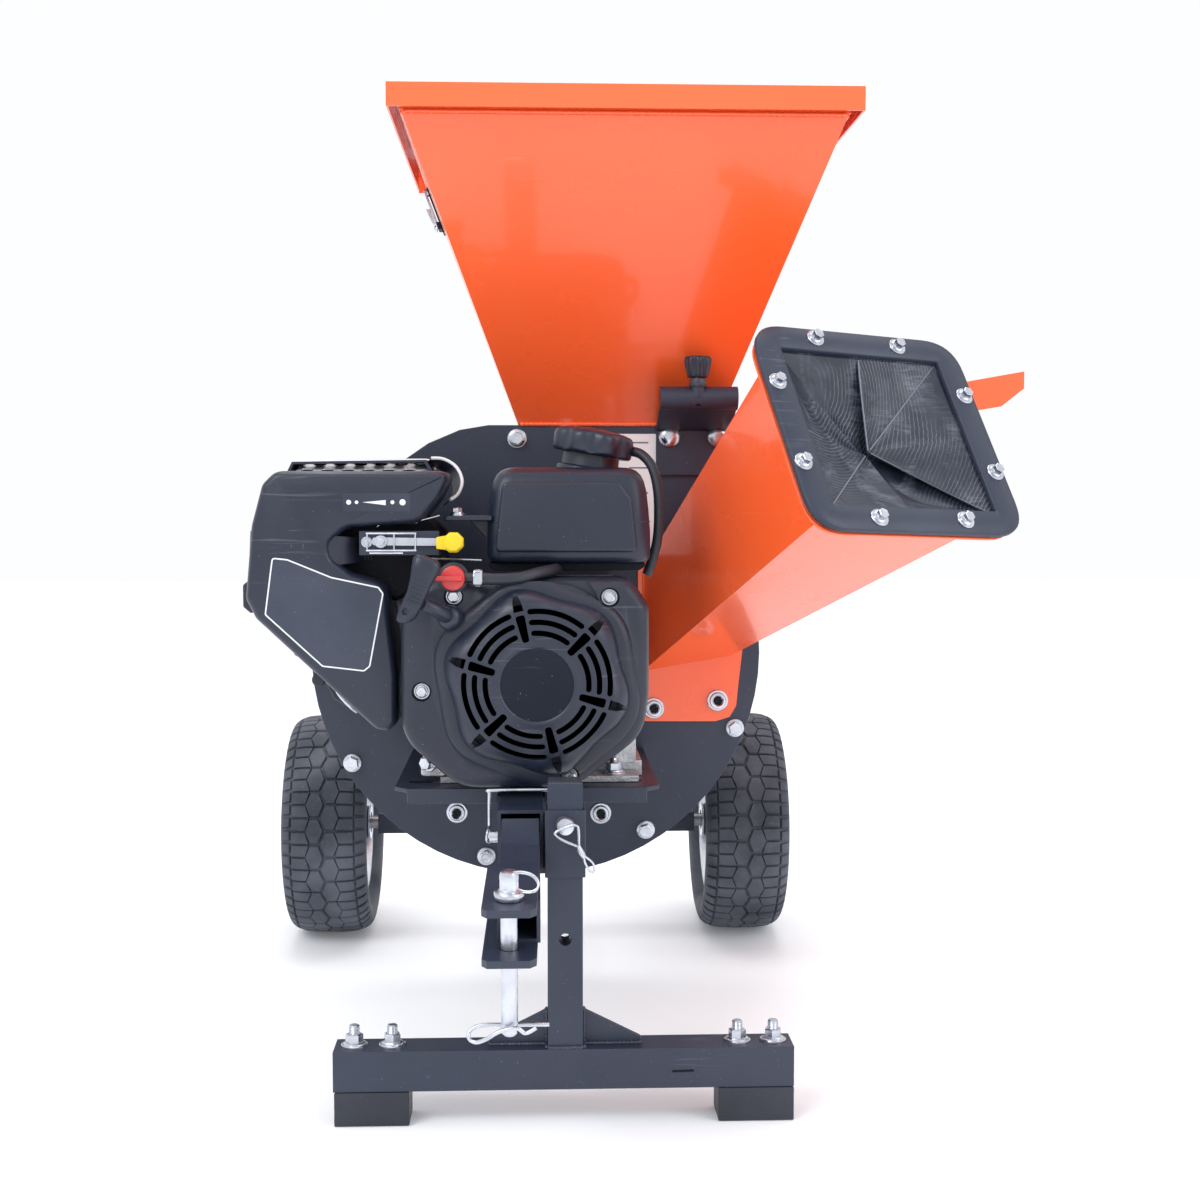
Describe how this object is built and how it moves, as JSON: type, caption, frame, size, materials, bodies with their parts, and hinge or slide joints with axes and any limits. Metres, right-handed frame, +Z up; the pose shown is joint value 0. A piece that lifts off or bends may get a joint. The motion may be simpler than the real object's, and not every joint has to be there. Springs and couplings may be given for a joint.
{
  "type": "wood chipper",
  "caption": "Towable engine-driven wood chipper and shredder with top hopper, side chute with rubber flaps, drum housing, wheels and pinned front stand.",
  "frame": {"origin": "middle of the bounding box's base, on the ground", "axes": "+Z up, front with engine and tow bar towards -Y, +X to the right seen from the front, where the chipper chute and the discharge are"},
  "size_m": [0.831, 0.9699, 0.913],
  "materials": {
    "orange_paint": "glossy orange powder coat",
    "black_coat": "satin black powder coat",
    "black_plastic": "moulded, fine grain",
    "black_rubber": "matte",
    "tyre_rubber": "matte, block tread",
    "zinc": "zinc plated",
    "steel": "machined, oiled",
    "aluminium": "die cast",
    "silver_paint": "silver paint on pressed steel",
    "red_plastic": "moulded",
    "yellow_plastic": "moulded"
  },
  "bodies": {
    "base": {"air_cleaner_cover": "black_plastic", "axle_frame": "black_coat", "axle_shaft": "zinc", "bed_knife": "steel", "blower_shroud": "black_plastic", "carburetor": "aluminium", "chipper_chute": "orange_paint", "chute_clamp_ring": "black_coat", "chute_flaps_inner": "black_rubber", "chute_flaps_outer": "black_rubber", "crankcase": "aluminium", "cylinder_head": "aluminium", "discharge_chute": "orange_paint", "discharge_screen": "steel", "engine_mount_plate": "black_coat", "foot_pad_left": "black_rubber", "foot_pad_right": "black_rubber", "fuel_hose": "black_rubber", "fuel_tank": "black_plastic", "hopper_throat": "orange_paint", "hopper_upper": "orange_paint", "housing_drum": "black_coat", "housing_front_plate": "black_coat", "housing_rear_plate": "black_coat", "knob_bracket": "black_coat", "muffler": "steel", "muffler_guard": "black_coat", "recoil_cover": "black_plastic", "spark_plug": "black_rubber", "stand_frame": "black_coat", "stand_sleeve": "black_coat", "throttle_bracket": "zinc", "tow_bar": "black_coat", "tow_lock_pin": "zinc", "tow_receiver": "black_coat", "vent_hose": "black_rubber"},
    "rotor": {"rotor_disc": "steel", "chipper_knife_a": "steel", "chipper_knife_b": "steel", "crankshaft": "steel", "fan_flywheel": "aluminium"},
    "hammer_a": {"hammer_a": "steel"},
    "hammer_b": {"hammer_b": "steel"},
    "wheel_left": {"tyre_left": "tyre_rubber", "wheel_rim_left": "silver_paint"},
    "wheel_right": {"tyre_right": "tyre_rubber", "wheel_rim_right": "silver_paint"},
    "hitch_pin": {"hitch_pin": "zinc"},
    "hitch_clip": {"hitch_clip": "zinc"},
    "tow_pin_bail": {"tow_pin_bail": "zinc"},
    "stand_lock_pin": {"stand_lock_pin": "zinc"},
    "hopper_gate": {"hopper_gate": "orange_paint"},
    "hopper_latch_lever": {"hopper_latch_lever": "zinc"},
    "hopper_knob": {"hopper_knob": "black_plastic"},
    "discharge_deflector": {"discharge_deflector": "orange_paint"},
    "throttle_lever": {"throttle_lever": "yellow_plastic"},
    "fuel_valve_lever": {"fuel_valve_lever": "red_plastic"},
    "fuel_cap": {"fuel_cap": "black_plastic"},
    "oil_dipstick": {"oil_dipstick": "black_plastic"},
    "recoil_handle": {"recoil_handle": "black_plastic"}
  },
  "joints": [
    {"name": "rotor_spin", "type": "hinge", "parent": "base", "child": "rotor", "pos_m": [-0.1035, 0.0554, 0.372], "axis": [0, 1, 0], "continuous": true},
    {"name": "hammer_a_swing", "type": "hinge", "parent": "rotor", "child": "hammer_a", "pos_m": [0.0165, 0.1234, 0.372], "axis": [0, 1, 0], "range_deg": [-150, 150]},
    {"name": "hammer_b_swing", "type": "hinge", "parent": "rotor", "child": "hammer_b", "pos_m": [-0.2235, 0.1234, 0.372], "axis": [0, 1, 0], "range_deg": [-150, 150]},
    {"name": "wheel_left_roll", "type": "hinge", "parent": "base", "child": "wheel_left", "pos_m": [-0.3535, 0.3514, 0.1335], "axis": [1, 0, 0], "continuous": true},
    {"name": "wheel_right_roll", "type": "hinge", "parent": "base", "child": "wheel_right", "pos_m": [0.1465, 0.3514, 0.1335], "axis": [1, 0, 0], "continuous": true},
    {"name": "hitch_pin_lift", "type": "slide", "parent": "base", "child": "hitch_pin", "axis": [0, -0.0958, 0.9954], "range_m": [0, 0.045]},
    {"name": "hitch_clip_pull", "type": "slide", "parent": "hitch_pin", "child": "hitch_clip", "axis": [-1, 0, 0], "range_m": [0, 0.04]},
    {"name": "tow_pin_bail_lift", "type": "hinge", "parent": "base", "child": "tow_pin_bail", "pos_m": [-0.0675, -0.2556, 0.2405], "axis": [0, 1, 0], "range_deg": [0, 100]},
    {"name": "stand_pin_pull", "type": "slide", "parent": "base", "child": "stand_lock_pin", "axis": [0, -1, 0], "range_m": [0, 0.055]},
    {"name": "hopper_gate_drop", "type": "hinge", "parent": "base", "child": "hopper_gate", "pos_m": [-0.0185, 0.22297, 0.737], "axis": [-1, 0, 0], "range_deg": [0, 95]},
    {"name": "latch_lever_turn", "type": "hinge", "parent": "base", "child": "hopper_latch_lever", "pos_m": [-0.21503, 0.2254, 0.846], "axis": [-0.3528, 0, 0.9357], "range_deg": [0, 100]},
    {"name": "hopper_knob_turn", "type": "hinge", "parent": "base", "child": "hopper_knob", "pos_m": [0.0605, -0.0066, 0.668], "axis": [0, 0, 1], "continuous": true},
    {"name": "deflector_tilt", "type": "hinge", "parent": "base", "child": "discharge_deflector", "pos_m": [0.2835, 0.1129, 0.648], "axis": [0, 1, 0], "range_deg": [-20, 40]},
    {"name": "throttle_move", "type": "hinge", "parent": "base", "child": "throttle_lever", "pos_m": [-0.2435, -0.1926, 0.496], "axis": [0, 1, 0], "range_deg": [-10, 15]},
    {"name": "fuel_valve_turn", "type": "hinge", "parent": "base", "child": "fuel_valve_lever", "pos_m": [-0.1775, -0.2246, 0.465], "axis": [0, 1, 0], "range_deg": [-90, 0]},
    {"name": "fuel_cap_turn", "type": "hinge", "parent": "base", "child": "fuel_cap", "pos_m": [-0.05125, -0.1146, 0.5763], "axis": [0.1724, 0, 0.985], "continuous": true},
    {"name": "oil_dipstick_turn", "type": "hinge", "parent": "base", "child": "oil_dipstick", "pos_m": [-0.19727, -0.0046, 0.31362], "axis": [-0.913, 0, 0.4079], "continuous": true},
    {"name": "recoil_pull", "type": "slide", "parent": "base", "child": "recoil_handle", "axis": [-0.5007, -0.751, 0.4306], "range_m": [0, 0.35]}
  ]
}
